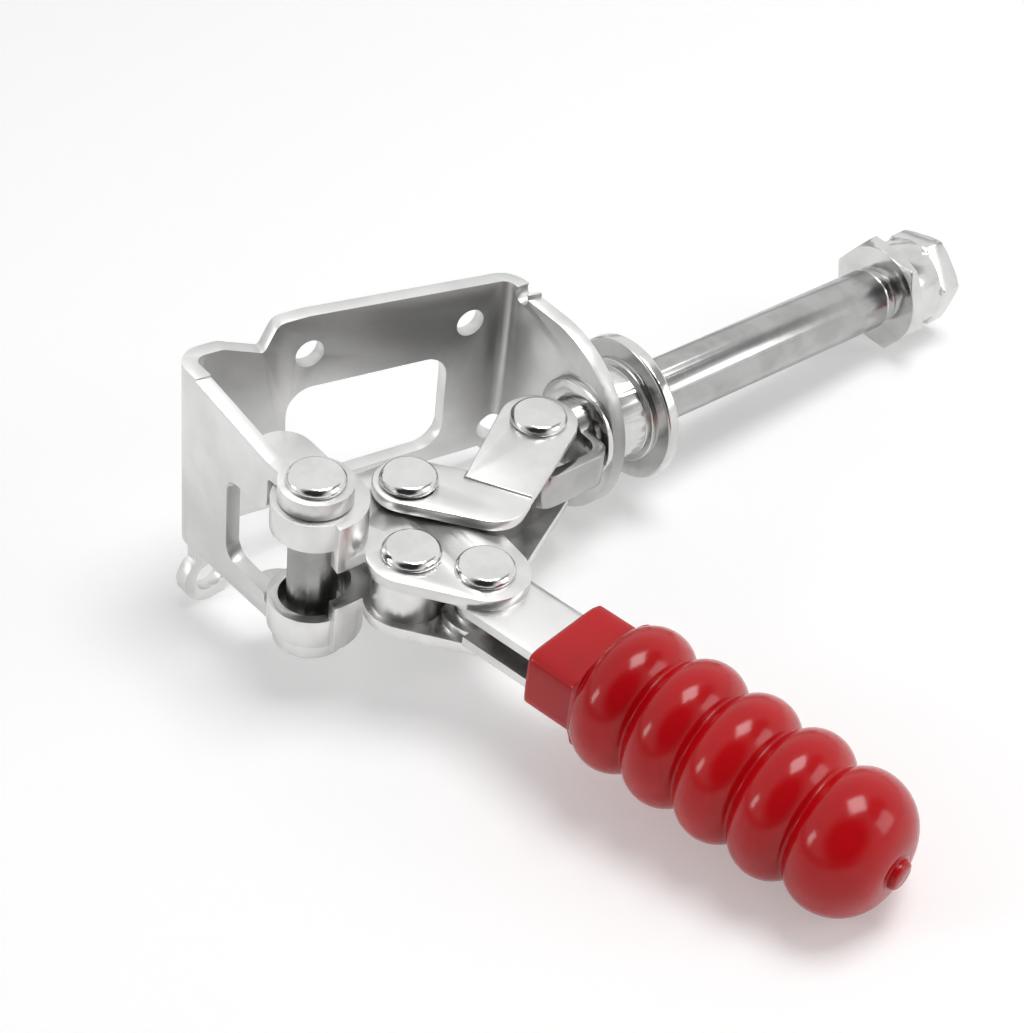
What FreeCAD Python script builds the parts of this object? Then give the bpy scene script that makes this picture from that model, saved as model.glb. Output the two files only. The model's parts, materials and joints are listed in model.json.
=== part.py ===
import FreeCAD, Part
import math
import os

os.makedirs("parts", exist_ok=True)
V = FreeCAD.Vector

# X runs along the plunger, Y towards the base plate, Z along the rivets.
# The model is drawn round the frame pivot rivet and moved to the push face at the end.

# clearances
run_fit = 0.05
side_gap = 0.3

# linkage
crank_len = 19.0
crank_rest_deg = -1.7
link_len = 29.0
rod_offset = 3.0
inner_rivet_x = 10.2
inner_rivet_y = -13.3
outer_rivet_x = 17.9
outer_rivet_y = -23.3

# rivets
shank_r = 3.0
rivet_head_r = 5.1
rivet_head_h = 1.7
rivet_bevel = 0.8

# crank plates
plate_in = 4.0
plate_t = 2.1
hub_r = 7.5
hub_lip_t = 1.8
hub_lip_low = 7.8
step_from_deg = -100.0
step_to_deg = 75.0
crank_lobe_r = 8.4
rivet_lobe_r = 7.6

# toggle links
link_t = 2.1
link_gap = 0.5
link_eye_r = 6.2
link_pin_lobe_r = 7.0
link_bow_r = 6.0
link_bow_x = 28.0
link_bow_y = -12.0
link_step = 0.5

# plunger
rod_r = 6.0
rod_end_x = 136.0
tail_rear_x = 42.4
tail_front_x = 58.6
tail_low_y = -8.9
tail_high_y = 7.4
tail_half = 3.6
tail_corner_r = 3.4
slot_play_x = 5.7
slot_play_y = 3.7
slot_margin = 0.3
rod_chamfer = 0.6

# end fittings
stud_r = 4.0
stud_depth = 18.0
collar_r = 5.4
collar_len = 2.2
nut_r = 11.6
nut_len = 2.8
nut_turn_deg = 7.7
nut_chamfer = 0.8
round_r = 8.9
round_len = 6.5
round_fillet = 1.0
bolt_hex_r = 9.5
bolt_hex_len = 5.0
bolt_turn_deg = -15.0
bolt_chamfer = 0.5

# frame sheet
sheet_t = 2.8
bend_in = 2.0
rear_out_x = -4.0
front_out_x = 64.0
base_deg = 8.0
base_rear_y = 35.0
base_high_front = 18.0
base_high_rear = 22.5
corner_from_front = 43.5
corner_to_front = 49.5
shelf_z = 20.4
shelf_dip_z = 17.2
shelf_dip_s = 16.4
shelf_flat_s = 8.5
base_low_rear = -18.4
base_low_front = -19.2
base_corner_r = 5.0
window_rear_s = 21.0
window_front_gap = 14.6
window_top = 7.2
window_top_front = 5.2
window_low = -15.6
window_r = 5.0
hole_r = 2.8
front_hole_gap = 10.4
front_hole_z = 11.2
rear_hole_s = 25.4
rear_hole_z = 14.3
relief_hole_r = 3.1
relief_hole_z = -15.0
lug_y = 29.0
lug_x = -1.0
lug_z = -25.2
lug_r = 5.4
lug_hole_r = 3.0

# rear wall
wall_low_y = -1.5
wall_flat_y = 8.0
wall_full_y = 32.0
opening_top = 6.0
opening_low = -12.0
opening_far_y = 19.8
opening_step_y = 8.0
opening_r = 3.0

# ears
ear_out = 17.0
ear_t = 3.2
ear_r = 6.4
ear_reach_y = 14.5
ear_width_x = 5.2

# front wall
front_half = 17.4
front_low = -21.6
front_low_y = 13.0
front_end_y = -6.6
front_round_r = 19.0
front_notch_r = 1.7
front_notch_y = 22.0

# nose bushing
nose_bore_r = rod_r + run_fit
nose_fit_r = 8.0
nose_back_r = 9.6
nose_back_t = 1.2
nose_barrel_r = 8.6
nose_barrel_x = 70.0
nose_step_r = 10.0
nose_step_x = 70.9
flange_r = 13.8
flange_x = 73.4
flange_edge = 0.6
mouth_r = 7.6
mouth_len = 2.6
mouth_chamfer = 0.6

# sleeves
pivot_sleeve_r = 4.3
sleeve_r = 5.4
barrel_r = 6.4

# handle channel
handle_deg = -80.0
handle_x = 17.9
handle_y = -26.0
channel_w = 14.4
channel_wall = 1.8
channel_len = 46.0
channel_back = 6.5
channel_bend = 2.4

# grip
grip_start = 14.8
neck_len = 10.2
neck_w = 18.6
neck_h = 11.0
neck_r = 1.6
rib_r = 12.8
rib_groove_r = 9.9
rib_pitch = 10.45
rib_count = 4
bulb_r = 12.2
dome_len = 9.0
nub_r = 2.6
nub_len = 1.2
nub_root = 1.0

plate_out = plate_in + plate_t
link_in = plate_out + link_gap
link_out = link_in + link_t
pin_seat = link_out + link_step
ear_in = ear_out - ear_t
hub_top = ear_in - side_gap
hub_in_r = hub_r - hub_lip_t / 2.0
hub_wall_r = hub_in_r + plate_t + side_gap
hole_fit = shank_r + run_fit
rear_in_x = rear_out_x + sheet_t
front_in_x = front_out_x - sheet_t
rad = math.radians
crank_pin = V(crank_len * math.cos(rad(crank_rest_deg)), crank_len * math.sin(rad(crank_rest_deg)), 0)
pin_x = crank_pin.x + math.sqrt(link_len ** 2 - crank_pin.y ** 2)
plunger_pin = V(pin_x, 0, 0)
pivot = V(0, 0, 0)
inner_rivet = V(inner_rivet_x, inner_rivet_y, 0)
outer_rivet = V(outer_rivet_x, outer_rivet_y, 0)
link_bow = V(link_bow_x, link_bow_y, 0)
handle_origin = V(handle_x, handle_y, 0)
big = 200.0


def cyl(centre, r, z0, z1):
    return Part.makeCylinder(r, z1 - z0, V(centre.x, centre.y, z0))


def disc_x(r, x0, x1):
    """Round bar on the plunger axis from x0 to x1."""
    return Part.makeCylinder(r, x1 - x0, V(x0, rod_offset, 0), V(1, 0, 0))


def tangent_bar(p, rp, q, rq, z0, z1):
    """Two discs joined by their outer tangents."""
    axis = q - p
    dist = axis.Length
    u = axis * (1.0 / dist)
    n = V(-u.y, u.x, 0)
    k = (rp - rq) / dist
    h = math.sqrt(1.0 - k * k)
    corners = []
    for c, r, side in ((p, rp, 1), (q, rq, 1), (q, rq, -1), (p, rp, -1)):
        w = c + (u * k + n * (h * side)) * r
        corners.append(V(w.x, w.y, z0))
    corners.append(corners[0])
    web = Part.Face(Part.makePolygon(corners)).extrude(V(0, 0, z1 - z0))
    return web.fuse([cyl(p, rp, z0, z1), cyl(q, rq, z0, z1)])


def rounded_face(points, radii):
    """Flat face through the points, each corner rounded by its own radius."""
    edges = []
    starts = []
    ends = []
    count = len(points)
    for i in range(count):
        a, b, c = points[i - 1], points[i], points[(i + 1) % count]
        r = radii[i]
        if r <= 0:
            starts.append(b)
            ends.append(b)
            edges.append(None)
            continue
        ua = (a - b).normalize()
        uc = (c - b).normalize()
        half = math.acos(max(-1.0, min(1.0, ua.dot(uc)))) / 2.0
        reach = r / math.tan(half)
        mid_dir = (ua + uc).normalize()
        centre = b + mid_dir * (r / math.sin(half))
        s = b + ua * reach
        e = b + uc * reach
        m = centre - mid_dir * r
        starts.append(s)
        ends.append(e)
        edges.append(Part.Arc(s, m, e).toShape())
    wire = []
    for i in range(count):
        if edges[i] is not None:
            wire.append(edges[i])
        nxt = starts[(i + 1) % count]
        if (nxt - ends[i]).Length > 1e-6:
            wire.append(Part.makeLine(ends[i], nxt))
    return Part.Face(Part.Wire(wire))


def revolve_z(points, centre):
    """Solid turned about a vertical line through the centre from (radius, z) pairs."""
    pts = [V(centre.x + r, centre.y, z) for r, z in points]
    pts.append(pts[0])
    return Part.Face(Part.makePolygon(pts)).revolve(centre, V(0, 0, 1), 360)


def rivet(centre, seat):
    """Solid rivet with a flat bevelled head standing on each seat height."""
    top = seat + rivet_head_h
    edge = top - rivet_bevel
    flat = rivet_head_r - rivet_bevel
    pts = [(0, -top), (flat, -top), (rivet_head_r, -edge), (rivet_head_r, -seat), (shank_r, -seat)]
    pts += [(shank_r, seat), (rivet_head_r, seat), (rivet_head_r, edge), (flat, top), (0, top)]
    return revolve_z(pts, centre)


def mirror_z(shape):
    return shape.mirror(V(0, 0, 0), V(0, 0, 1))


def hexagon(radius, x0, length, turn_deg):
    """Hexagonal bar on the plunger axis."""
    pts = []
    for i in range(7):
        a = rad(turn_deg + 60.0 * i)
        pts.append(V(x0, rod_offset + radius * math.cos(a), radius * math.sin(a)))
    return Part.Face(Part.makePolygon(pts)).extrude(V(length, 0, 0))


def cone_trim(radius, x0, length, chamfer):
    """Round blank with both rims bevelled, used to trim the corners of a hexagon."""
    body = disc_x(radius, x0 + chamfer, x0 + length - chamfer)
    low = Part.makeCone(radius - 2 * chamfer, radius, chamfer, V(x0, rod_offset, 0), V(1, 0, 0))
    high_at = V(x0 + length - chamfer, rod_offset, 0)
    high = Part.makeCone(radius, radius - 2 * chamfer, chamfer, high_at, V(1, 0, 0))
    return body.fuse([low, high])


def clean(shape):
    return shape.removeSplitter()


nodes = {}

# Frame: one sheet folded into a rear wall, a slanting base plate and a front wall.
slope = math.tan(rad(base_deg))
base_u = V(math.cos(rad(base_deg)), -math.sin(rad(base_deg)), 0)
base_n = V(math.sin(rad(base_deg)), math.cos(rad(base_deg)), 0)
rear_in_y = base_rear_y - slope * sheet_t
front_in_y = base_rear_y - slope * (front_in_x - rear_out_x)
lift = sheet_t / math.cos(rad(base_deg))
rear_out_y = base_rear_y + lift
front_out_y = base_rear_y - slope * (front_out_x - rear_out_x) + lift
z_low = -40.0
outer_pts = [V(rear_out_x, -big, z_low), V(rear_out_x, rear_out_y, z_low)]
outer_pts += [V(front_out_x, front_out_y, z_low), V(front_out_x, -big, z_low)]
inner_pts = [V(rear_in_x, -big, z_low), V(rear_in_x, rear_in_y, z_low)]
inner_pts += [V(front_in_x, front_in_y, z_low), V(front_in_x, -big, z_low)]
bend_out = bend_in + sheet_t
tall = V(0, 0, -2 * z_low)
outer_u = rounded_face(outer_pts, [0, bend_out, bend_out, 0]).extrude(tall)
inner_u = rounded_face(inner_pts, [0, bend_in, bend_in, 0]).extrude(tall)
folded = outer_u.cut(inner_u)


def on_base(s, z, depth=0.0):
    """Point of the base plate's inner face, s along it from the rear corner."""
    return V(rear_out_x, base_rear_y, 0) + base_u * s + base_n * depth + V(0, 0, z)


def base_prism(points, radii, depth0, depth1):
    face = rounded_face([on_base(s, z, depth0) for s, z in points], radii)
    return face.extrude(base_n * (depth1 - depth0))


def base_hole(s, z, r):
    return Part.makeCylinder(r, 3 * sheet_t, on_base(s, z, -sheet_t), base_n)


base_len = (front_out_x - rear_out_x) / math.cos(rad(base_deg))
corner_to = base_len - corner_to_front
corner_from = base_len - corner_from_front
base_outline = [(-sheet_t, base_low_rear), (-sheet_t, shelf_z), (shelf_flat_s, shelf_z)]
base_outline += [(shelf_dip_s, shelf_dip_z), (corner_to, base_high_rear), (corner_from, base_high_rear)]
base_outline += [(base_len + sheet_t, base_high_front), (base_len + sheet_t, base_low_front)]
base_radii = [0, 0, 3.0, 0.8, 2.4, 2.4, 0, 0]
keep_base = base_prism(base_outline, base_radii, -2 * sheet_t, 2 * sheet_t)

wall_half_pts = [(-big, ear_out), (wall_flat_y, ear_out), (wall_full_y, shelf_z), (rear_out_y, shelf_z)]
wall_half_pts += [(rear_out_y, base_low_rear), (wall_full_y, base_low_rear), (wall_flat_y, -ear_out)]
wall_half_pts += [(-big, -ear_out)]
wall_pts = [V(rear_out_x - sheet_t, max(y, wall_low_y), z) for y, z in wall_half_pts]
keep_wall = rounded_face(wall_pts, [0, 6.0, 3.0, 0, 0, 3.0, 6.0, 0]).extrude(V(3 * sheet_t, 0, 0))

front_top_y = front_in_y + 2 * sheet_t
front_pts = [V(front_in_x - sheet_t, front_top_y, base_low_front), V(front_in_x - sheet_t, front_top_y, front_half)]
front_pts += [V(front_in_x - sheet_t, front_end_y, front_half), V(front_in_x - sheet_t, front_end_y, front_low)]
front_pts += [V(front_in_x - sheet_t, front_low_y, front_low)]
front_radii = [0, 0, front_round_r, front_round_r, 0]
keep_front = rounded_face(front_pts, front_radii).extrude(V(3 * sheet_t, 0, 0))

frame = folded.common(keep_base.fuse([keep_wall, keep_front]))

window_front_s = base_len - window_front_gap
front_hole_s = base_len - front_hole_gap
window_pts = [(window_rear_s, window_low), (window_rear_s, window_top)]
window_pts += [(window_front_s, window_top_front), (window_front_s, window_low)]
frame = frame.cut(base_prism(window_pts, [window_r] * 4, -2 * sheet_t, 2 * sheet_t))
frame = frame.cut(base_hole(front_hole_s, front_hole_z, hole_r))
frame = frame.cut(base_hole(rear_hole_s, rear_hole_z, hole_r))
bend_at = V(front_in_x, front_in_y, relief_hole_z)
bend_out_dir = V(1, 1, 0).normalize()
frame = frame.cut(Part.makeCylinder(relief_hole_r, 6 * sheet_t, bend_at - bend_out_dir * (3 * sheet_t), bend_out_dir))

opening_edge = [(-big, ear_in), (opening_step_y, ear_in), (opening_step_y, opening_top), (opening_far_y, opening_top)]
opening_edge += [(opening_far_y, opening_low), (opening_step_y, opening_low), (opening_step_y, -ear_in), (-big, -ear_in)]
opening_pts = [V(rear_out_x - sheet_t, y, z) for y, z in opening_edge]
opening_radii = [0, 1.0, 3.0, opening_r, opening_r, 0.5, 0.5, 0]
opening = rounded_face(opening_pts, opening_radii).extrude(V(3 * sheet_t, 0, 0))
frame = frame.cut(opening)

notch_at = V(front_in_x - sheet_t, front_notch_y, front_half)
frame = frame.cut(Part.makeCylinder(front_notch_r, 3 * sheet_t, notch_at, V(1, 0, 0)))

ear_pts = [V(rear_out_x, wall_low_y, ear_in), V(ear_width_x, wall_low_y, ear_in)]
ear_pts += [V(ear_width_x, ear_reach_y, ear_in), V(rear_out_x, ear_reach_y, ear_in)]
ear = rounded_face(ear_pts, [0, 0, ear_width_x, 0]).extrude(V(0, 0, ear_t))
ear = ear.fuse([cyl(pivot, ear_r, ear_in, ear_out)]).cut(cyl(pivot, shank_r, ear_in - 1, ear_out + 1))
frame = frame.fuse([ear, mirror_z(ear)]).cut(cyl(pivot, shank_r, -big, big))

lug_at = V(lug_x, lug_y, lug_z)
lug = Part.makeCylinder(lug_r, sheet_t, lug_at, V(0, 1, 0))
lug_neck = Part.makeBox(lug_r + rear_in_x - rear_out_x, sheet_t, base_low_rear + sheet_t - lug_z)
lug_neck.translate(V(rear_out_x, lug_y, lug_z))
frame = frame.fuse([lug, lug_neck])
frame = frame.cut(Part.makeCylinder(lug_hole_r, 3 * sheet_t, lug_at - V(0, sheet_t, 0), V(0, 1, 0)))
frame = frame.cut(disc_x(nose_fit_r, front_in_x - 2, front_out_x + 2))
nodes["frame"] = clean(frame)

# Nose bushing pressed in the front wall, with its flange and mouth ring.
back_x = front_in_x - nose_back_t
nose = disc_x(nose_back_r, back_x, front_in_x).fuse([
    disc_x(nose_fit_r, front_in_x, front_out_x),
    disc_x(nose_barrel_r, front_out_x, nose_barrel_x),
    disc_x(nose_step_r, nose_barrel_x, nose_step_x)])
nose = nose.cut(disc_x(nose_bore_r, back_x - 1, nose_step_x + 1))
nodes["nose_bushing"] = clean(nose)
plate = disc_x(flange_r, nose_step_x, flange_x).cut(disc_x(nose_bore_r, nose_step_x - 1, flange_x + 1))
rims = [e for e in plate.Edges if abs(e.Length - 2 * math.pi * flange_r) < 0.01]
nodes["nose_flange"] = clean(plate.makeFillet(flange_edge, rims))
mouth = disc_x(mouth_r, flange_x, flange_x + mouth_len)
rims = [e for e in mouth.Edges if abs(e.Length - 2 * math.pi * mouth_r) < 0.01 and e.BoundBox.XMax > flange_x + 1]
mouth = mouth.makeFillet(mouth_chamfer, rims)
nodes["nose_mouth_ring"] = clean(mouth.cut(disc_x(nose_bore_r, flange_x - 1, flange_x + mouth_len + 1)))

# Plunger: round rod with a flat tail; the tail's slot leaves play round the plunger pin.
half_pin = shank_r + slot_margin
tail_pts = [V(tail_rear_x, tail_low_y, -tail_half), V(tail_rear_x, tail_high_y, -tail_half)]
tail_pts += [V(tail_front_x, tail_high_y, -tail_half), V(tail_front_x, tail_low_y, -tail_half)]
tail_face = rounded_face(tail_pts, [tail_corner_r, tail_corner_r, rod_chamfer, tail_corner_r])
tail = tail_face.extrude(V(0, 0, 2 * tail_half))
slot_x0 = pin_x - half_pin
slot_x1 = pin_x + half_pin + slot_play_x
slot_y0 = -half_pin - slot_play_y
slot_y1 = half_pin
slot_pts = [V(slot_x0, slot_y0, -big), V(slot_x0, slot_y1, -big), V(slot_x1, slot_y1, -big), V(slot_x1, slot_y0, -big)]
slot = rounded_face(slot_pts, [half_pin - 0.2] * 4).extrude(V(0, 0, 2 * big))
rod = disc_x(rod_r, tail_front_x - 2, rod_end_x)
ends = [e for e in rod.Edges if abs(e.Length - 2 * math.pi * rod_r) < 0.01 and e.BoundBox.XMin > rod_end_x - 1]
rod = rod.makeChamfer(rod_chamfer, ends)
rod = rod.fuse(tail).cut(slot).cut(disc_x(stud_r, rod_end_x - stud_depth, rod_end_x + 1))
nodes["plunger"] = clean(rod)

# End fittings, in order from the rod: collar, jam nut, bolt with round shoulder and hexagon.
nut_x = rod_end_x + collar_len
round_x = nut_x + nut_len
hex_x = round_x + round_len
collar = disc_x(collar_r, rod_end_x, nut_x).cut(disc_x(stud_r, rod_end_x - 1, nut_x + 1))
nodes["end_collar"] = clean(collar)
nut = hexagon(nut_r, nut_x, nut_len, nut_turn_deg).common(cone_trim(nut_r, nut_x, nut_len, nut_chamfer))
nodes["jam_nut"] = clean(nut.cut(disc_x(stud_r, nut_x - 1, round_x + 1)))
shoulder = disc_x(round_r, round_x, hex_x)
shoulder = shoulder.makeFillet(round_fillet, [e for e in shoulder.Edges if e.BoundBox.XMax < round_x + 0.1])
head = hexagon(bolt_hex_r, hex_x, bolt_hex_len, bolt_turn_deg)
head = head.common(cone_trim(bolt_hex_r, hex_x, bolt_hex_len, bolt_chamfer))
stud = disc_x(stud_r, rod_end_x - stud_depth, round_x + 1)
nodes["end_bolt"] = clean(stud.fuse([shoulder, head]))

# Crank plates: flat lobes round the crank pin and the handle rivets, stepped up to a hub under the ear.
z0, z1 = plate_in, plate_out


def wedge(from_deg, to_deg, low, high):
    """Sector round the pivot between two directions."""
    pts = [V(0, 0, low)]
    for k in range(5):
        a = rad(from_deg + (to_deg - from_deg) * k / 4.0)
        pts.append(V(big * math.cos(a), big * math.sin(a), low))
    pts.append(pts[0])
    return Part.Face(Part.makePolygon(pts)).extrude(V(0, 0, high - low))


def ring(r_out, r_in, low, high):
    return cyl(pivot, r_out, low, high).cut(cyl(pivot, r_in, low - 1, high + 1))


crank = tangent_bar(pivot, hub_wall_r, crank_pin, crank_lobe_r, z0, z1)
crank = crank.fuse([
    tangent_bar(crank_pin, crank_lobe_r, outer_rivet, rivet_lobe_r, z0, z1),
    tangent_bar(inner_rivet, rivet_lobe_r, outer_rivet, rivet_lobe_r, z0, z1),
    tangent_bar(inner_rivet, rivet_lobe_r, crank_pin, crank_lobe_r, z0, z1)])
front_side = wedge(step_from_deg, step_to_deg, z0 - 1, hub_top + 1)
rear_side = wedge(step_to_deg, step_from_deg + 360.0, z0 - 1, hub_top + 1)
crank = crank.cut(cyl(pivot, hub_in_r, z0 - 1, z1 + 1)).cut(ring(hub_wall_r + 0.1, hub_in_r / 2, z0 - 1, z1 + 1).common(rear_side))
step_wall = ring(hub_wall_r, hub_in_r, z0, hub_top).common(front_side)
hub_low = hub_top - plate_t
hub_lip = ring(hub_r, hub_r - hub_lip_t, hub_lip_low, hub_top).common(rear_side)
crank = crank.fuse([step_wall, cyl(pivot, hub_r, hub_low, hub_top), hub_lip])
crank = crank.cut(cyl(pivot, hole_fit, z0 - 1, hub_top + 1))
for at in (crank_pin, inner_rivet, outer_rivet):
    crank = crank.cut(cyl(at, shank_r, z0 - 1, hub_top + 1))
crank = clean(crank)
nodes["crank_plate_upper"] = crank
nodes["crank_plate_lower"] = mirror_z(crank)

# Toggle links: a bowed strap, stepped up at its knee.
z0, z1 = link_in, link_out
link = tangent_bar(crank_pin, link_eye_r, link_bow, link_bow_r, z0, z1)
arm = tangent_bar(link_bow, link_bow_r, plunger_pin, link_pin_lobe_r, z0, z1 + link_step)
rise_dir = (plunger_pin - link_bow).normalize()
rise_side = V(-rise_dir.y, rise_dir.x, 0)
rise_at = link_bow + rise_dir * (0.5 * link_bow_r)
low_pts = [rise_at - rise_side * big, rise_at + rise_side * big]
low_pts += [low_pts[1] - rise_dir * big, low_pts[0] - rise_dir * big]
low_pts.append(low_pts[0])
before = Part.Face(Part.makePolygon([V(p.x, p.y, z1) for p in low_pts])).extrude(V(0, 0, big))
high_pts = [rise_at - rise_side * big, rise_at + rise_side * big]
high_pts += [high_pts[1] + rise_dir * big, high_pts[0] + rise_dir * big]
high_pts.append(high_pts[0])
under = Part.Face(Part.makePolygon([V(p.x, p.y, z0 + link_step) for p in high_pts])).extrude(V(0, 0, -big))
link = link.fuse(arm.cut(before).cut(under))
link = link.cut(cyl(crank_pin, hole_fit, z0 - 1, z1 + 2)).cut(cyl(plunger_pin, shank_r, z0 - 1, z1 + 2))
link = clean(link)
nodes["link_upper"] = link
nodes["link_lower"] = mirror_z(link)

# Rivets and sleeves.
nodes["frame_pivot_rivet"] = clean(rivet(pivot, ear_out))
nodes["crank_pin_rivet"] = clean(rivet(crank_pin, link_out + side_gap))
nodes["plunger_pin_rivet"] = clean(rivet(plunger_pin, pin_seat))
nodes["inner_handle_rivet"] = clean(rivet(inner_rivet, plate_out))
nodes["outer_handle_rivet"] = clean(rivet(outer_rivet, plate_out))


def sleeve(centre, r, bore, half):
    return cyl(centre, r, -half, half).cut(cyl(centre, bore, -half - 1, half + 1))


nodes["pivot_sleeve"] = sleeve(pivot, pivot_sleeve_r, hole_fit, hub_low)
nodes["crank_pin_sleeve"] = sleeve(crank_pin, sleeve_r, shank_r, plate_in)
nodes["barrel_spacer"] = sleeve(inner_rivet, barrel_r, shank_r, plate_in)

# Handle channel: folded U with its web on the front side.
h_u = V(math.cos(rad(handle_deg)), math.sin(rad(handle_deg)), 0)
h_n = V(-h_u.y, h_u.x, 0)


def on_handle(s, n, z=0.0):
    return handle_origin + h_u * s + h_n * n + V(0, 0, z)


def handle_box(s0, s1, n0, n1, zl, zh):
    pts = [on_handle(s0, n0, zl), on_handle(s1, n0, zl), on_handle(s1, n1, zl), on_handle(s0, n1, zl), on_handle(s0, n0, zl)]
    return Part.Face(Part.makePolygon(pts)).extrude(V(0, 0, zh - zl))


half_w = channel_w / 2.0
corner = channel_bend
section = [on_handle(0, -half_w, -plate_in), on_handle(0, half_w, -plate_in)]
section += [on_handle(0, half_w, plate_in), on_handle(0, -half_w, plate_in)]
solid_bar = rounded_face(section, [0, corner, corner, 0]).extrude(h_u * channel_len)
hollow = handle_box(-1, channel_len + 1, -half_w - 1, half_w - channel_wall, -plate_in + channel_wall, plate_in - channel_wall)
front_end = cyl(outer_rivet, rivet_lobe_r - 0.9, -plate_in, plate_in)
front_end = front_end.cut(cyl(outer_rivet, big, -plate_in + channel_wall, plate_in - channel_wall))
channel = solid_bar.cut(hollow).fuse(front_end)
channel = channel.cut(cyl(outer_rivet, shank_r, -big, big)).cut(cyl(inner_rivet, barrel_r + 0.4, -big, big))
nodes["handle_channel"] = clean(channel)
nodes["outer_rivet_sleeve"] = sleeve(outer_rivet, shank_r + 1.6, shank_r, plate_in - channel_wall)

# Grip: square neck and ribbed body round the channel.
g0 = grip_start
neck = [on_handle(g0, -neck_w / 2, -neck_h / 2), on_handle(g0, neck_w / 2, -neck_h / 2)]
neck += [on_handle(g0, neck_w / 2, neck_h / 2), on_handle(g0, -neck_w / 2, neck_h / 2)]
grip = rounded_face(neck, [neck_r] * 4).extrude(h_u * (neck_len + 2.0))
body_start = g0 + neck_len
bulge_r = (rib_pitch ** 2 / 4.0 + (rib_r - rib_groove_r) ** 2) / (2.0 * (rib_r - rib_groove_r))
half_pitch = rib_pitch / 2.0
profile = [Part.makeLine(on_handle(body_start, 0), on_handle(body_start, rib_groove_r))]
for i in range(rib_count):
    s0 = body_start + i * rib_pitch
    valley, crest, s1 = on_handle(s0, rib_groove_r), on_handle(s0 + half_pitch, rib_r), s0 + rib_pitch
    profile.append(Part.Arc(valley, crest, on_handle(s1, rib_groove_r)).toShape())
last_s = body_start + rib_count * rib_pitch
dome_s = last_s + half_pitch
bulb_bulge_r = (half_pitch ** 2 + (bulb_r - rib_groove_r) ** 2) / (2.0 * (bulb_r - rib_groove_r))
shoulder_n = bulb_r - bulb_bulge_r + math.sqrt(bulb_bulge_r ** 2 - half_pitch ** 2 / 4.0)
shoulder_at = on_handle(last_s + half_pitch / 2.0, shoulder_n)
crest_at = on_handle(dome_s, bulb_r)
profile.append(Part.Arc(on_handle(last_s, rib_groove_r), shoulder_at, crest_at).toShape())
flat_r = bulb_r - dome_len
edge_at = on_handle(dome_s + dome_len * math.sqrt(0.5), flat_r + dome_len * math.sqrt(0.5))
end_s = dome_s + dome_len
profile.append(Part.Arc(crest_at, edge_at, on_handle(end_s, flat_r)).toShape())
grip_end = on_handle(end_s, 0)
profile.append(Part.makeLine(on_handle(end_s, flat_r), grip_end))
profile.append(Part.makeLine(grip_end, on_handle(body_start, 0)))
grip = grip.fuse(Part.Face(Part.Wire(profile)).revolve(on_handle(body_start, 0), h_u, 360))
grip = grip.fuse(Part.makeCylinder(nub_r, nub_len + nub_root, on_handle(end_s - nub_root, 0), h_u))
grip = grip.cut(rounded_face(section, [0, corner, corner, 0]).extrude(h_u * channel_len))
nodes["grip"] = clean(grip)

# The row's origin is the centre of the bolt's push face.
push_face = V(hex_x + bolt_hex_len, rod_offset, 0)
for name, shape in nodes.items():
    shape.translate(push_face * -1.0)
    if not shape.isValid():
        print("invalid", name)
    print(name, len(shape.Solids), round(shape.Volume, 1))
    shape.exportStep("parts/%s.step" % name)
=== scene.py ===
import json
import math

import bmesh
import bpy
import numpy as np
from mathutils import Matrix, Vector

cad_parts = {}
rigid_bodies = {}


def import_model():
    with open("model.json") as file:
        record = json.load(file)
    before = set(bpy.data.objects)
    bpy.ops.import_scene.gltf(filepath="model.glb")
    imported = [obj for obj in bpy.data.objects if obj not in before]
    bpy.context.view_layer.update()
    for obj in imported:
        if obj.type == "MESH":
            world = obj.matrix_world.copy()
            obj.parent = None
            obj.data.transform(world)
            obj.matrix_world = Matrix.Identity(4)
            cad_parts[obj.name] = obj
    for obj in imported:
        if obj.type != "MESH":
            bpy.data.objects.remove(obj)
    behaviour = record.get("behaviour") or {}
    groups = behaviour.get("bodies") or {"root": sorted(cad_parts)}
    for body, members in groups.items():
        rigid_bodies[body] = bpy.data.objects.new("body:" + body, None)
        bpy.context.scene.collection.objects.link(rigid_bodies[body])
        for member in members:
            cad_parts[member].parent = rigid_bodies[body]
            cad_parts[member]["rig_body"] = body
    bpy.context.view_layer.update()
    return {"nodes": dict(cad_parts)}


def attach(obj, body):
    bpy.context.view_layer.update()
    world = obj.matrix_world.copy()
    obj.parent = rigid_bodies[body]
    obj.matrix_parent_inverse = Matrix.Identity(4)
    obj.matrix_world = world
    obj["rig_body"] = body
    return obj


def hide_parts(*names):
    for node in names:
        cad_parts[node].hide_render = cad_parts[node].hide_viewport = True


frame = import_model()
print("frame loaded:", len(frame["nodes"]), "nodes")


def newGroup(name, inputs, outputs):
    group = bpy.data.node_groups.new(name, "ShaderNodeTree")
    for label, kind, value in inputs:
        socket = group.interface.new_socket(name=label, in_out="INPUT", socket_type=kind)
        if value is not None:
            socket.default_value = value
    for label, kind in outputs:
        group.interface.new_socket(name=label, in_out="OUTPUT", socket_type=kind)
    return group, group.nodes.new("NodeGroupInput"), group.nodes.new("NodeGroupOutput")


def addNode(tree, kind, values=None, **attributes):
    node = tree.nodes.new(kind)
    for key, value in attributes.items():
        setattr(node, key, value)
    for key, value in (values or {}).items():
        node.inputs[key].default_value = value
    return node


def addSmoothRange(tree, start, end, low=0.0, high=1.0):
    # eases from low at start to high at end
    values = {"From Min": start, "From Max": end, "To Min": low, "To Max": high}
    return addNode(tree, "ShaderNodeMapRange", values, interpolation_type="SMOOTHSTEP")


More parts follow.
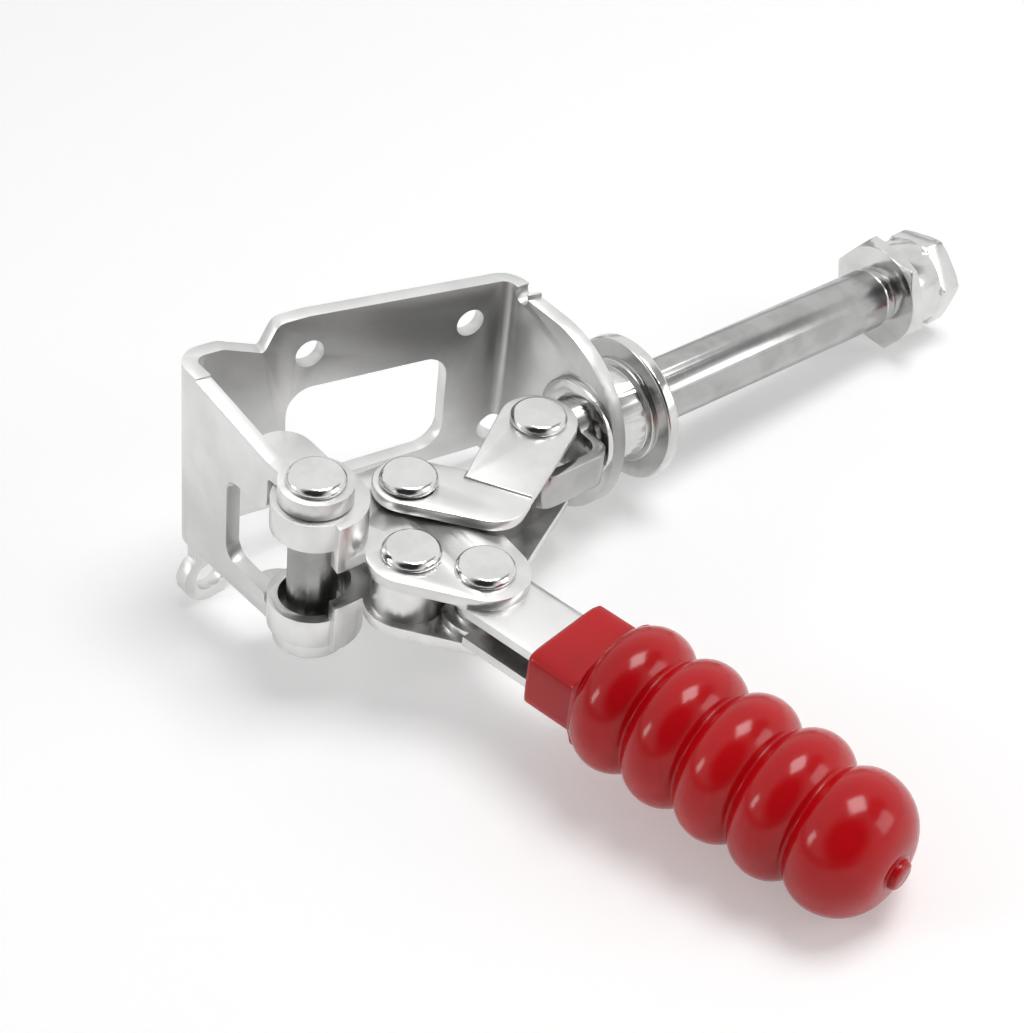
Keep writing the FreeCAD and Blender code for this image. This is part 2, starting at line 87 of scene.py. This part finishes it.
# how fine and how rough the two noises are, the depth in metres of the grain's bump,
# and the noise levels between which the clouds go from bright to dull
grainNoise = {"detail": 3.0, "roughness": 0.6, "bumpDepth": 0.0001}
cloudNoise = {"detail": 4.0, "roughness": 0.55, "brightTo": 0.36, "dullFrom": 0.68}


def makeGrainGroup(settings):
    # noise stretched along the way the steel was rolled or ground: gives a roughness and a normal
    inputs = [
        ("Vector", "NodeSocketVector", None),
        ("Stretch", "NodeSocketVector", (400.0, 400.0, 400.0)),
        ("Roughness", "NodeSocketFloat", 0.25),
        ("Spread", "NodeSocketFloat", 0.1),
        ("Depth", "NodeSocketFloat", 0.1),
    ]
    outputs = [("Roughness", "NodeSocketFloat"), ("Normal", "NodeSocketVector")]
    group, given, result = newGroup("metalGrain", inputs, outputs)
    link = group.links.new
    stretch = addNode(group, "ShaderNodeVectorMath", operation="MULTIPLY")
    fineness = {"Scale": 1.0, "Detail": settings["detail"], "Roughness": settings["roughness"]}
    noise = addNode(group, "ShaderNodeTexNoise", fineness)
    centred = addNode(group, "ShaderNodeMath", {1: 0.5}, operation="SUBTRACT")
    spread = addNode(group, "ShaderNodeMath", operation="MULTIPLY")
    total = addNode(group, "ShaderNodeMath", operation="ADD", use_clamp=True)
    bump = addNode(group, "ShaderNodeBump", {"Distance": settings["bumpDepth"]})
    link(given.outputs["Vector"], stretch.inputs[0])
    link(given.outputs["Stretch"], stretch.inputs[1])
    link(stretch.outputs[0], noise.inputs["Vector"])
    link(noise.outputs["Fac"], centred.inputs[0])
    link(centred.outputs[0], spread.inputs[0])
    link(given.outputs["Spread"], spread.inputs[1])
    link(spread.outputs[0], total.inputs[0])
    link(given.outputs["Roughness"], total.inputs[1])
    link(noise.outputs["Fac"], bump.inputs["Height"])
    link(given.outputs["Depth"], bump.inputs["Strength"])
    link(total.outputs[0], result.inputs["Roughness"])
    link(bump.outputs["Normal"], result.inputs["Normal"])
    return group


def makeTarnishGroup(settings):
    # slow clouds of duller and brighter plate from one broad noise, as plating and handling leave them
    inputs = [
        ("Vector", "NodeSocketVector", None),
        ("Scale", "NodeSocketFloat", 60.0),
        ("Bright", "NodeSocketColor", (0.8, 0.8, 0.8, 1.0)),
        ("Dull", "NodeSocketColor", (0.6, 0.6, 0.6, 1.0)),
    ]
    group, given, result = newGroup("plateClouds", inputs, [("Color", "NodeSocketColor")])
    link = group.links.new
    fineness = {"Detail": settings["detail"], "Roughness": settings["roughness"]}
    coarse = addNode(group, "ShaderNodeTexNoise", fineness)
    ramp = addSmoothRange(group, settings["brightTo"], settings["dullFrom"])
    mix = addNode(group, "ShaderNodeMix", data_type="RGBA")
    link(given.outputs["Vector"], coarse.inputs["Vector"])
    link(given.outputs["Scale"], coarse.inputs["Scale"])
    link(coarse.outputs["Fac"], ramp.inputs["Value"])
    link(ramp.outputs["Result"], mix.inputs["Factor"])
    link(given.outputs["Bright"], mix.inputs[6])
    link(given.outputs["Dull"], mix.inputs[7])
    link(mix.outputs[2], result.inputs["Color"])
    return group


def makeTurnedGroup():
    # lathe marks: the pattern depends only on the place along the rod and the distance from its axis
    inputs = [
        ("Vector", "NodeSocketVector", None),
        ("Along", "NodeSocketFloat", 5000.0),
        ("Round", "NodeSocketFloat", 5000.0),
    ]
    group, given, result = newGroup("turnedVector", inputs, [("Vector", "NodeSocketVector")])
    link = group.links.new
    parts = addNode(group, "ShaderNodeSeparateXYZ")
    flat = addNode(group, "ShaderNodeCombineXYZ")
    length = addNode(group, "ShaderNodeVectorMath", operation="LENGTH")
    along = addNode(group, "ShaderNodeMath", operation="MULTIPLY")
    ring = addNode(group, "ShaderNodeMath", operation="MULTIPLY")
    made = addNode(group, "ShaderNodeCombineXYZ")
    link(given.outputs["Vector"], parts.inputs[0])
    link(parts.outputs["Y"], flat.inputs["Y"])
    link(parts.outputs["Z"], flat.inputs["Z"])
    link(flat.outputs[0], length.inputs[0])
    link(parts.outputs["X"], along.inputs[0])
    link(given.outputs["Along"], along.inputs[1])
    link(length.outputs["Value"], ring.inputs[0])
    link(given.outputs["Round"], ring.inputs[1])
    link(along.outputs[0], made.inputs["X"])
    link(ring.outputs[0], made.inputs["Y"])
    link(made.outputs[0], result.inputs["Vector"])
    return group


grainGroup = makeGrainGroup(grainNoise)
cloudGroup = makeTarnishGroup(cloudNoise)
turnedGroup = makeTurnedGroup()

# bright and dull are the two plate colours, clouds and grain are noise cells per metre, grain along
# X, Y and Z; spread is how far the roughness wanders, depth the strength of the bump, and turned the
# cells per metre along the rod and away from its axis
steelFinishes = {
    "zincSheet": {
        "bright": (0.80, 0.80, 0.79),
        "dull": (0.62, 0.62, 0.61),
        "clouds": 38.0,
        "grain": (900.0, 2600.0, 900.0),
        "rough": 0.42,
        "spread": 0.06,
        "depth": 0.025,
    },
    "zincLinks": {
        "bright": (0.77, 0.767, 0.755),
        "dull": (0.66, 0.66, 0.65),
        "clouds": 90.0,
        "grain": (1500.0, 1500.0, 1500.0),
        "rough": 0.31,
        "spread": 0.06,
        "depth": 0.03,
    },
    "rivetPolish": {
        "bright": (0.77, 0.77, 0.76),
        "dull": (0.69, 0.69, 0.68),
        "clouds": 160.0,
        "grain": (2600.0, 2600.0, 2600.0),
        "rough": 0.12,
        "spread": 0.08,
        "depth": 0.06,
    },
    # painted shade: a dark steel colour standing in for the shade between the crank plates
    "paintedShadeSleeve": {
        "bright": (0.40, 0.40, 0.395),
        "dull": (0.30, 0.30, 0.295),
        "clouds": 120.0,
        "grain": (2600.0, 2600.0, 2600.0),
        "rough": 0.30,
        "spread": 0.08,
        "depth": 0.06,
    },
    "turnedPlate": {
        "bright": (0.70, 0.70, 0.69),
        "dull": (0.60, 0.60, 0.59),
        "clouds": 120.0,
        "grain": (1.0, 1.0, 1.0),
        "rough": 0.17,
        "spread": 0.08,
        "depth": 0.03,
        "turned": (4200.0, 4200.0),
    },
    "groundRod": {
        "bright": (0.46, 0.46, 0.455),
        "dull": (0.38, 0.38, 0.375),
        "clouds": 140.0,
        "grain": (1.0, 1.0, 1.0),
        "rough": 0.22,
        "spread": 0.10,
        "depth": 0.05,
        "turned": (6500.0, 900.0),
    },
}

# painted shade inside the fold: the plate's colour is darkened towards the base plate's upper front
# corner, on faces that look the way of facing, and from one distance along a direction to another;
# colour is the painted shade
paintedFoldShade = {
    "finish": "zincSheet",
    "facing": (-0.139, -0.990, 0.0),
    "squareFrom": 0.5,
    "squareTo": 0.95,
    "along": (0.45, 0.0, 1.0),
    "from": -0.058,
    "to": -0.037,
    "colour": (0.30, 0.30, 0.295, 1.0),
    "most": 0.9,
}


def paintFoldShade(tree, place, colour, fold):
    # paints shade into the fold: amount = how squarely the face looks into the fold times how far it
    # lies along the given direction
    link = tree.links.new
    facing = addNode(tree, "ShaderNodeVectorMath", {1: fold["facing"]}, operation="DOT_PRODUCT")
    inside = addSmoothRange(tree, fold["squareFrom"], fold["squareTo"])
    along = addNode(tree, "ShaderNodeVectorMath", {1: fold["along"]}, operation="DOT_PRODUCT")
    deep = addSmoothRange(tree, fold["from"], fold["to"], 0.0, fold["most"])
    amount = addNode(tree, "ShaderNodeMath", operation="MULTIPLY")
    mix = addNode(tree, "ShaderNodeMix", {7: fold["colour"]}, data_type="RGBA")
    link(place.outputs["Normal"], facing.inputs[0])
    link(facing.outputs["Value"], inside.inputs["Value"])
    link(place.outputs["Object"], along.inputs[0])
    link(along.outputs["Value"], deep.inputs["Value"])
    link(inside.outputs["Result"], amount.inputs[0])
    link(deep.outputs["Result"], amount.inputs[1])
    link(amount.outputs[0], mix.inputs[0])
    link(colour, mix.inputs[6])
    return mix.outputs[2]


def makeSteel(name, finish):
    material = bpy.data.materials.new(name)
    material.use_nodes = True
    tree = material.node_tree
    link = tree.links.new
    shader = tree.nodes["Principled BSDF"]
    shader.inputs["Metallic"].default_value = 1.0
    place = addNode(tree, "ShaderNodeTexCoord")
    grain = addNode(tree, "ShaderNodeGroup", node_tree=grainGroup)
    clouds = addNode(tree, "ShaderNodeGroup", node_tree=cloudGroup)
    grain.inputs["Stretch"].default_value = finish["grain"]
    grain.inputs["Roughness"].default_value = finish["rough"]
    grain.inputs["Spread"].default_value = finish["spread"]
    grain.inputs["Depth"].default_value = finish["depth"]
    clouds.inputs["Scale"].default_value = finish["clouds"]
    clouds.inputs["Bright"].default_value = (*finish["bright"], 1.0)
    clouds.inputs["Dull"].default_value = (*finish["dull"], 1.0)
    source = place.outputs["Object"]
    link(source, clouds.inputs["Vector"])
    if "turned" in finish:
        rings = addNode(tree, "ShaderNodeGroup", node_tree=turnedGroup)
        rings.inputs["Along"].default_value = finish["turned"][0]
        rings.inputs["Round"].default_value = finish["turned"][1]
        link(source, rings.inputs["Vector"])
        source = rings.outputs["Vector"]
    link(source, grain.inputs["Vector"])
    colour = clouds.outputs["Color"]
    # the sheet gets painted shade in its fold
    if name == paintedFoldShade["finish"]:
        colour = paintFoldShade(tree, place, colour, paintedFoldShade)
    link(colour, shader.inputs["Base Color"])
    link(grain.outputs["Roughness"], shader.inputs["Roughness"])
    link(grain.outputs["Normal"], shader.inputs["Normal"])
    return material


vinylFinish = {
    "ior": 1.39,
    "grain": (420.0, 420.0, 420.0),
    "rough": 0.16,
    "spread": 0.08,
    "depth": 0.22,
    "clouds": 45.0,
    "bright": (0.53, 0.003, 0.006, 1.0),
    "dull": (0.44, 0.002, 0.005, 1.0),
}


def makeVinyl():
    # dipped vinyl: deep even red with a slow change of depth and a fine orange-peel skin
    material = bpy.data.materials.new("gripVinyl")
    material.use_nodes = True
    tree = material.node_tree
    link = tree.links.new
    shader = tree.nodes["Principled BSDF"]
    shader.inputs["IOR"].default_value = vinylFinish["ior"]
    place = addNode(tree, "ShaderNodeTexCoord")
    grain = addNode(tree, "ShaderNodeGroup", node_tree=grainGroup)
    clouds = addNode(tree, "ShaderNodeGroup", node_tree=cloudGroup)
    grain.inputs["Stretch"].default_value = vinylFinish["grain"]
    grain.inputs["Roughness"].default_value = vinylFinish["rough"]
    grain.inputs["Spread"].default_value = vinylFinish["spread"]
    grain.inputs["Depth"].default_value = vinylFinish["depth"]
    clouds.inputs["Scale"].default_value = vinylFinish["clouds"]
    clouds.inputs["Bright"].default_value = vinylFinish["bright"]
    clouds.inputs["Dull"].default_value = vinylFinish["dull"]
    link(place.outputs["Object"], grain.inputs["Vector"])
    link(place.outputs["Object"], clouds.inputs["Vector"])
    link(clouds.outputs["Color"], shader.inputs["Base Color"])
    link(grain.outputs["Roughness"], shader.inputs["Roughness"])
    link(grain.outputs["Normal"], shader.inputs["Normal"])
    return material


finishes = {name: makeSteel(name, finish) for name, finish in steelFinishes.items()}
finishes["gripVinyl"] = makeVinyl()
print("finishes made:", len(finishes))

# each piece's finish, the width in metres by which its edges are broken,
# and the angle in degrees from which an edge is broken
pieceFinish = {
    "frame": ("zincSheet", 0.00045, 32),
    "crank_plate_upper": ("zincLinks", 0.00035, 32),
    "crank_plate_lower": ("zincLinks", 0.00035, 32),
    "link_upper": ("zincLinks", 0.0003, 32),
    "link_lower": ("zincLinks", 0.0003, 32),
    "handle_channel": ("zincLinks", 0.0003, 32),
    "frame_pivot_rivet": ("rivetPolish", 0.0003, 30),
    "crank_pin_rivet": ("rivetPolish", 0.0003, 30),
    "plunger_pin_rivet": ("rivetPolish", 0.0003, 30),
    "inner_handle_rivet": ("rivetPolish", 0.0003, 30),
    "outer_handle_rivet": ("rivetPolish", 0.0003, 30),
    "jam_nut": ("turnedPlate", 0.00025, 20),
    "end_bolt": ("turnedPlate", 0.00025, 20),
    "end_collar": ("turnedPlate", 0.0002, 32),
    "nose_bushing": ("turnedPlate", 0.0002, 32),
    "nose_flange": ("turnedPlate", 0.0002, 32),
    "nose_mouth_ring": ("turnedPlate", 0.0002, 32),
    "plunger": ("groundRod", 0.0002, 32),
    "barrel_spacer": ("zincLinks", 0.0002, 32),
    "outer_rivet_sleeve": ("zincLinks", 0.0002, 32),
    # the sleeves between the crank plates carry painted shade
    "pivot_sleeve": ("paintedShadeSleeve", 0.0002, 32),
    "crank_pin_sleeve": ("paintedShadeSleeve", 0.0002, 32),
}

# the distance in metres within which points are merged, the turn up to which faces count as one flat
# area, and the faces across a broken edge
edgeWork = {"merge": 0.000002, "flatDegrees": 0.4, "segments": 2}


def brokenEdgePiece(node, finish, width, degrees, settings):
    # a merged copy of the CAD piece: flat areas are one face, sharp edges bevelled, the rest smooth
    source = frame["nodes"][node]
    mesh = bpy.data.meshes.new(node + "_mesh")
    work = bmesh.new()
    work.from_mesh(source.data)
    bmesh.ops.remove_doubles(work, verts=work.verts, dist=settings["merge"])
    flat = math.radians(settings["flatDegrees"])
    bmesh.ops.dissolve_limit(work, angle_limit=flat, verts=work.verts, edges=work.edges)
    for face in work.faces:
        face.smooth = True
    work.to_mesh(mesh)
    work.free()
    mesh.materials.append(finishes[finish])
    piece = bpy.data.objects.new(node + "_finished", mesh)
    bpy.context.scene.collection.objects.link(piece)
    bevel = piece.modifiers.new("brokenEdge", "BEVEL")
    bevel.width = width
    bevel.segments = settings["segments"]
    bevel.limit_method = "ANGLE"
    bevel.angle_limit = math.radians(degrees)
    bevel.harden_normals = True
    bevel.use_clamp_overlap = True
    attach(piece, source["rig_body"])
    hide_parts(node)


for node, (finish, width, degrees) in pieceFinish.items():
    brokenEdgePiece(node, finish, width, degrees, edgeWork)
print("steel pieces finished:", len(pieceFinish))

# in metres, measured along the handle from start; the rims, steps and edges are short blends, domeShare
# of the dome is drawn before the nub, which begins nubGap above it, and leastRadius keeps the formula
# from dividing by nothing
gripShape = {
    "start": (-0.1346, -0.0290, 0.0),
    "degrees": -80.0,
    "neckFrom": 0.0148,
    "neckLength": 0.0102,
    "neckHalfWidth": 0.0093,
    "neckHalfHeight": 0.0055,
    "ribRadius": 0.0128,
    "grooveRadius": 0.0099,
    "bulbRadius": 0.0122,
    "domeLength": 0.0090,
    "pitch": 0.01045,
    "ribs": 4,
    "nubRadius": 0.0026,
    "nubLength": 0.0012,
    "nubEdge": 0.0005,
    "stepBefore": 0.0008,
    "stepAfter": 0.0010,
    "rimLength": 0.0008,
    "rimShrink": 0.07,
    "squarePower": 9,
    "roundPower": 2,
    "around": 128,
    "ringsNeck": 20,
    "ringsStep": 24,
    "ringsRibs": 150,
    "ringsDome": 40,
    "ringsNub": 10,
    "domeShare": 0.999,
    "nubGap": 0.00001,
    "leastRadius": 0.0000001,
}


def closedSurface(name, points):
    # points is a grid of rings, each closed on itself, and the first and last are drawn to a point
    rings, around, _ = points.shape
    foot, top = points[0].mean(0, keepdims=True), points[-1].mean(0, keepdims=True)
    verts = np.concatenate([foot, points.reshape(-1, 3), top])
    index = 1 + np.arange(rings * around).reshape(rings, around)
    turned = np.roll(index, -1, axis=1)
    quads = np.stack([index[:-1], turned[:-1], turned[1:], index[1:]], axis=-1).reshape(-1, 4)
    first = np.stack([np.zeros(around, int), turned[0], index[0]], axis=-1)
    last = np.stack([np.full(around, len(verts) - 1), index[-1], turned[-1]], axis=-1)
    mesh = bpy.data.meshes.new(name)
    mesh.from_pydata(verts.tolist(), [], quads.tolist() + first.tolist() + last.tolist())
    mesh.polygons.foreach_set("use_smooth", np.ones(len(mesh.polygons), bool))
    mesh.update()
    return mesh


def makeGrip(shape):
    # radius = (|cos a / width|^e + |sin a / height|^e)^(-1/e), where e falls from the square neck to the
    # round body; each rib is an arc through its two grooves and its crest, the end a bulb with a nub
    pitch, groove = shape["pitch"], shape["grooveRadius"]
    bulb, dome = shape["bulbRadius"], shape["domeLength"]
    start, bodyFrom = shape["neckFrom"], shape["neckFrom"] + shape["neckLength"]
    bulbFrom = bodyFrom + shape["ribs"] * pitch
    domeFrom = bulbFrom + 0.5 * pitch
    nubRadius, nubEdge = shape["nubRadius"], shape["nubEdge"]
    nubTop = domeFrom + dome + shape["nubLength"]
    flat = bulb - dome
    foot = domeFrom + dome * shape["domeShare"]
    inStep, inBody = bodyFrom - shape["stepBefore"], bodyFrom + shape["stepAfter"]
    s = np.concatenate([
        np.linspace(start, inStep, shape["ringsNeck"], endpoint=False),
        np.linspace(inStep, inBody, shape["ringsStep"], endpoint=False),
        np.linspace(inBody, domeFrom, shape["ringsRibs"], endpoint=False),
        domeFrom + (foot - domeFrom) * np.sin(np.linspace(0, 0.5 * np.pi, shape["ringsDome"])),
        np.linspace(foot + shape["nubGap"], nubTop, shape["ringsNub"]),
    ])
    crest = np.where(s < bulbFrom, shape["ribRadius"], bulb)
    bulge = (pitch ** 2 / 4 + (crest - groove) ** 2) / (2 * (crest - groove))
    phase = np.mod(s - bodyFrom, pitch) - pitch / 2
    ribbed = crest - bulge + np.sqrt(np.maximum(bulge ** 2 - phase ** 2, 0.0))
    ball = flat + np.sqrt(np.maximum(dome ** 2 - np.maximum(s - domeFrom, 0.0) ** 2, 0.0))
    nub = nubRadius - nubEdge * (1 - np.sqrt(np.clip((nubTop - s) / nubEdge, 0, 1)))
    body = np.where(s < domeFrom, ribbed, np.where(s <= foot, ball, nub))
    step = np.clip((s - inStep) / (inBody - inStep), 0, 1)
    step = step ** 2 * (3 - 2 * step)
    wide = shape["neckHalfWidth"] + (body - shape["neckHalfWidth"]) * step
    high = shape["neckHalfHeight"] + (body - shape["neckHalfHeight"]) * step
    power = shape["squarePower"] - (shape["squarePower"] - shape["roundPower"]) * step
    rim = np.clip((s - start) / shape["rimLength"], 0, 1)
    shrink = 1 - shape["rimShrink"] * (1 - np.sqrt(1 - (1 - rim) ** 2))
    angle = np.linspace(0, 2 * np.pi, shape["around"], endpoint=False)
    cosA, sinA = np.abs(np.cos(angle))[None, :], np.abs(np.sin(angle))[None, :]
    wide, high = wide[:, None] + shape["leastRadius"], high[:, None] + shape["leastRadius"]
    power, shrink = power[:, None], shrink[:, None]
    radius = shrink * ((cosA / wide) ** power + (sinA / high) ** power) ** (-1 / power)
    turn = math.radians(shape["degrees"])
    along = np.array([math.cos(turn), math.sin(turn), 0.0])
    across = np.array([-math.sin(turn), math.cos(turn), 0.0])
    up = np.array([0.0, 0.0, 1.0])
    centre = np.array(shape["start"]) + s[:, None, None] * along
    points = centre + (radius * np.cos(angle))[..., None] * across
    points = points + (radius * np.sin(angle))[..., None] * up
    return closedSurface("grip_mesh", points)


gripPiece = bpy.data.objects.new("grip_vinyl", makeGrip(gripShape))
gripPiece.data.materials.append(finishes["gripVinyl"])
bpy.context.scene.collection.objects.link(gripPiece)
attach(gripPiece, "handle")
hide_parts("grip")
print("grip made")

# the clamp lies on its rear lug, the grip and the front wall, so the table leans to touch all three
tableTop = {
    "normal": (-0.1051, 0.1173, 0.9875),
    "halfSize": 4.0,
    "colour": (0.86, 0.86, 0.86, 1.0),
    "whitening": 0.27,
}


def makeTable(table):
    # a flat square: each corner = the clamp's lowest point along the normal, plus or minus half a side
    # both ways
    normal = np.array(table["normal"]) / np.linalg.norm(table["normal"])
    lowest = math.inf
    for node in frame["nodes"].values():
        flat = np.empty(len(node.data.vertices) * 3, np.float32)
        node.data.vertices.foreach_get("co", flat)
        lowest = min(lowest, float((flat.reshape(-1, 3) @ normal).min()))
    first = np.cross(normal, (0.0, 1.0, 0.0))
    first /= np.linalg.norm(first)
    second = np.cross(normal, first)
    signs = ((-1, -1), (1, -1), (1, 1), (-1, 1))
    half = table["halfSize"]
    corners = [normal * lowest + half * (a * first + b * second) for a, b in signs]
    mesh = bpy.data.meshes.new("tableTop")
    mesh.from_pydata([tuple(c) for c in corners], [], [(0, 1, 2, 3)])
    mesh.update()
    material = bpy.data.materials.new("whitePaper")
    material.use_nodes = True
    tree = material.node_tree
    link = tree.links.new
    tree.nodes.remove(tree.nodes["Principled BSDF"])
    paper = addNode(tree, "ShaderNodeBsdfDiffuse", {"Color": table["colour"]})
    glow = addNode(tree, "ShaderNodeEmission")
    seen = addNode(tree, "ShaderNodeLightPath")
    direct = addNode(tree, "ShaderNodeMath", operation="MAXIMUM")
    either = addNode(tree, "ShaderNodeMath", operation="MAXIMUM")
    level = addNode(tree, "ShaderNodeMath", {1: table["whitening"]}, operation="MULTIPLY")
    both = addNode(tree, "ShaderNodeAddShader")
    link(seen.outputs["Is Camera Ray"], direct.inputs[0])
    link(seen.outputs["Is Glossy Ray"], direct.inputs[1])
    link(direct.outputs[0], either.inputs[0])
    link(seen.outputs["Is Transmission Ray"], either.inputs[1])
    link(either.outputs[0], level.inputs[0])
    link(level.outputs[0], glow.inputs["Strength"])
    link(paper.outputs[0], both.inputs[0])
    link(glow.outputs[0], both.inputs[1])
    # clear from below, so a low view still shows the clamp
    sides = addNode(tree, "ShaderNodeNewGeometry")
    clear = addNode(tree, "ShaderNodeBsdfTransparent")
    shown = addNode(tree, "ShaderNodeMixShader")
    link(sides.outputs["Backfacing"], shown.inputs[0])
    link(both.outputs[0], shown.inputs[1])
    link(clear.outputs[0], shown.inputs[2])
    link(shown.outputs[0], tree.nodes["Material Output"].inputs["Surface"])
    mesh.materials.append(material)
    top = bpy.data.objects.new("tableTop", mesh)
    bpy.context.scene.collection.objects.link(top)


makeTable(tableTop)
print("table made")

# a white room with a dim skirting; the plated steel also shows two dark things,
# the room's near side and a gap between two lamps
roomLight = {
    "fill": 0.30,
    "white": 0.97,
    "skirtingFrom": 0.17,
    "skirtingTo": 0.04,
    "skirting": 0.45,
}
darkThings = {
    "nearSide": {"toward": (-0.5223, -0.5557, 0.6468), "from": 0.62, "to": 0.92, "keep": 0.03},
    "lampGap": {"toward": (0.522, -0.33, 0.787), "from": 0.92, "to": 0.985, "keep": 0.38},
}


def makeRoom(room, things):
    world = bpy.data.worlds.new("whiteRoom")
    bpy.context.scene.world = world
    world.use_nodes = True
    tree = world.node_tree
    link = tree.links.new
    background = tree.nodes["Background"]
    background.inputs["Color"].default_value = (1.0, 1.0, 1.0, 1.0)
    place = addNode(tree, "ShaderNodeTexCoord")
    parts = addNode(tree, "ShaderNodeSeparateXYZ")
    height = addNode(tree, "ShaderNodeMath", operation="ABSOLUTE")
    walls = addSmoothRange(
        tree, room["skirtingFrom"], room["skirtingTo"], room["white"], room["skirting"]
    )
    link(place.outputs["Generated"], parts.inputs[0])
    link(parts.outputs["Z"], height.inputs[0])
    link(height.outputs[0], walls.inputs["Value"])
    level = walls.outputs["Result"]
    for thing in things.values():
        near = addNode(tree, "ShaderNodeVectorMath", {1: thing["toward"]}, operation="DOT_PRODUCT")
        keep = addSmoothRange(tree, thing["from"], thing["to"], 1.0, thing["keep"])
        dimmed = addNode(tree, "ShaderNodeMath", operation="MULTIPLY")
        link(place.outputs["Generated"], near.inputs[0])
        link(near.outputs["Value"], keep.inputs["Value"])
        link(level, dimmed.inputs[0])
        link(keep.outputs["Result"], dimmed.inputs[1])
        level = dimmed.outputs[0]
    seen = addNode(tree, "ShaderNodeLightPath")
    glossy = addNode(tree, "ShaderNodeMix", {2: room["fill"]}, data_type="FLOAT")
    camera = addNode(tree, "ShaderNodeMix", {3: 1.0}, data_type="FLOAT")
    clear = addNode(tree, "ShaderNodeMath", operation="MAXIMUM")
    link(seen.outputs["Is Glossy Ray"], glossy.inputs[0])
    link(level, glossy.inputs[3])
    link(seen.outputs["Is Camera Ray"], clear.inputs[0])
    link(seen.outputs["Is Transmission Ray"], clear.inputs[1])
    link(clear.outputs[0], camera.inputs[0])
    link(glossy.outputs[0], camera.inputs[2])
    link(camera.outputs[0], background.inputs["Strength"])


makeRoom(roomLight, darkThings)

softLights = {
    "overhead": {"place": (0.04, -0.06, 0.96), "size": (0.44, 0.44), "watts": 5.0},
    "right": {"place": (0.42, -0.70, 0.48), "size": (0.42, 0.42), "watts": 1.5},
    "leftLow": {"place": (-0.98, 0.41, 0.30), "size": (0.22, 0.30), "watts": 1.4},
}
lookAt = Vector((-0.105, 0.0, -0.015))  # the middle of the clamp
for name, lamp in softLights.items():
    data = bpy.data.lights.new(name, "AREA")
    data.shape = "RECTANGLE"
    data.size, data.size_y = lamp["size"]
    data.energy = lamp["watts"]
    light = bpy.data.objects.new(name, data)
    light.location = lamp["place"]
    light.rotation_euler = (lookAt - Vector(lamp["place"])).to_track_quat("-Z", "Y").to_euler()
    bpy.context.scene.collection.objects.link(light)
print("room and lights set")

# the photograph's view: direction, lean, focal length and the point looked at
photoView = {
    "azimuth": 43.226,
    "elevation": 40.303,
    "roll": 6.586,
    "focalPixels": 2426.4,
    "longSidePixels": 1033.0,
    "sensorWidth": 36.0,
    "distance": 0.4421,
    "target": (-0.105335, 0.0, -0.015033),
    "clipFrom": 0.01,
    "clipTo": 50.0,
}


def makeCamera(shot):
    # stands the distance back from the target, looks along azimuth and elevation, and is leant by roll
    azimuth, elevation, roll = (math.radians(shot[k]) for k in ("azimuth", "elevation", "roll"))
    level = math.cos(elevation)
    ahead = Vector((math.sin(azimuth) * level, math.cos(azimuth) * level, -math.sin(elevation)))
    aside = Vector((math.cos(azimuth), -math.sin(azimuth), 0.0))
    upright = aside.cross(ahead)
    right = aside * math.cos(roll) + upright * math.sin(roll)
    up = upright * math.cos(roll) - aside * math.sin(roll)
    data = bpy.data.cameras.new("photoCamera")
    data.sensor_fit = "AUTO"
    data.sensor_width = shot["sensorWidth"]
    data.lens = shot["sensorWidth"] * shot["focalPixels"] / shot["longSidePixels"]
    data.clip_start, data.clip_end = shot["clipFrom"], shot["clipTo"]
    camera = bpy.data.objects.new("photoCamera", data)
    turn = Matrix((right, up, -ahead)).transposed().to_4x4()
    camera.matrix_world = Matrix.Translation(Vector(shot["target"]) - ahead * shot["distance"]) @ turn
    bpy.context.scene.collection.objects.link(camera)
    bpy.context.scene.camera = camera


makeCamera(photoView)
bpy.context.scene.view_settings.view_transform = "Standard"
